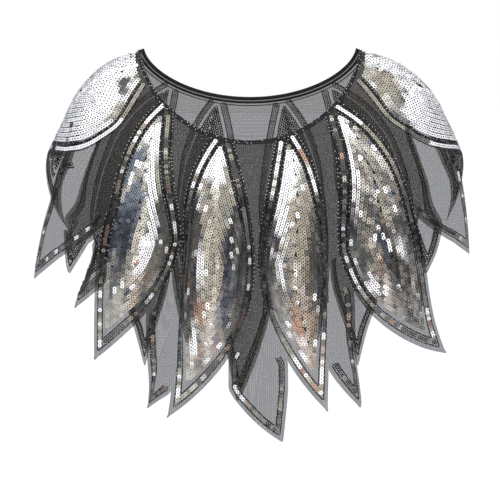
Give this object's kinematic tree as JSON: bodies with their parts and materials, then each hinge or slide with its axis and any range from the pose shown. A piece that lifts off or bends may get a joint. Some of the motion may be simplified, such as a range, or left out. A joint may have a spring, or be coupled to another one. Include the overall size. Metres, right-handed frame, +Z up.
{
  "type": "sequinned net capelet",
  "caption": "Shoulder-length net capelet with a wide scoop neck and a jagged hem of pointed leaf petals covered in flat silver sequins, open at the neck and hem.",
  "frame": {"origin": "middle of the neck opening, level with the two neck points where the garment rests beside the neck", "axes": "+X to the wearer's left, which is the right of the picture; +Y to the back; +Z up"},
  "size_m": [0.4417, 0.2725, 0.3841],
  "materials": {
    "net": "fine black see-through net",
    "sequins": "flat silver sequins with a mirror film, in lengthwise rows",
    "border_sequins": "single row of flat silver sequins between black bead lines",
    "beads": "black glass-like beads in close rows"
  },
  "bodies": {
    "root": {"border_back_inner_left": "border_sequins", "border_back_inner_right": "border_sequins", "border_back_outer_left": "border_sequins", "border_back_outer_right": "border_sequins", "border_front_inner_left": "border_sequins", "border_front_inner_right": "border_sequins", "border_front_outer_left": "border_sequins", "border_front_outer_right": "border_sequins", "border_shoulder_left": "border_sequins", "border_shoulder_right": "border_sequins", "leaf_back_left": "net", "leaf_back_middle": "net", "leaf_back_right": "net", "leaf_back_side_left": "net", "leaf_back_side_right": "net", "leaf_border_back_left": "border_sequins", "leaf_border_back_middle": "border_sequins", "leaf_border_back_right": "border_sequins", "leaf_border_back_side_left": "border_sequins", "leaf_border_back_side_right": "border_sequins", "leaf_border_front_left": "border_sequins", "leaf_border_front_middle": "border_sequins", "leaf_border_front_right": "border_sequins", "leaf_border_side_left": "border_sequins", "leaf_border_side_right": "border_sequins", "leaf_front_left": "net", "leaf_front_middle": "net", "leaf_front_right": "net", "leaf_side_left": "net", "leaf_side_right": "net", "neck_binding_back": "beads", "neck_binding_front": "beads", "petal_back_inner_left": "net", "petal_back_inner_right": "net", "petal_back_outer_left": "net", "petal_back_outer_right": "net", "petal_front_inner_left": "net", "petal_front_inner_right": "net", "petal_front_outer_left": "net", "petal_front_outer_right": "net", "petal_shoulder_left": "net", "petal_shoulder_right": "net", "sequins_back_inner_left": "sequins", "sequins_back_inner_right": "sequins", "sequins_back_outer_left": "sequins", "sequins_back_outer_right": "sequins", "sequins_front_inner_left": "sequins", "sequins_front_inner_right": "sequins", "sequins_front_outer_left": "sequins", "sequins_front_outer_right": "sequins", "sequins_shoulder_left": "sequins", "sequins_shoulder_right": "sequins"}
  },
  "joints": []
}
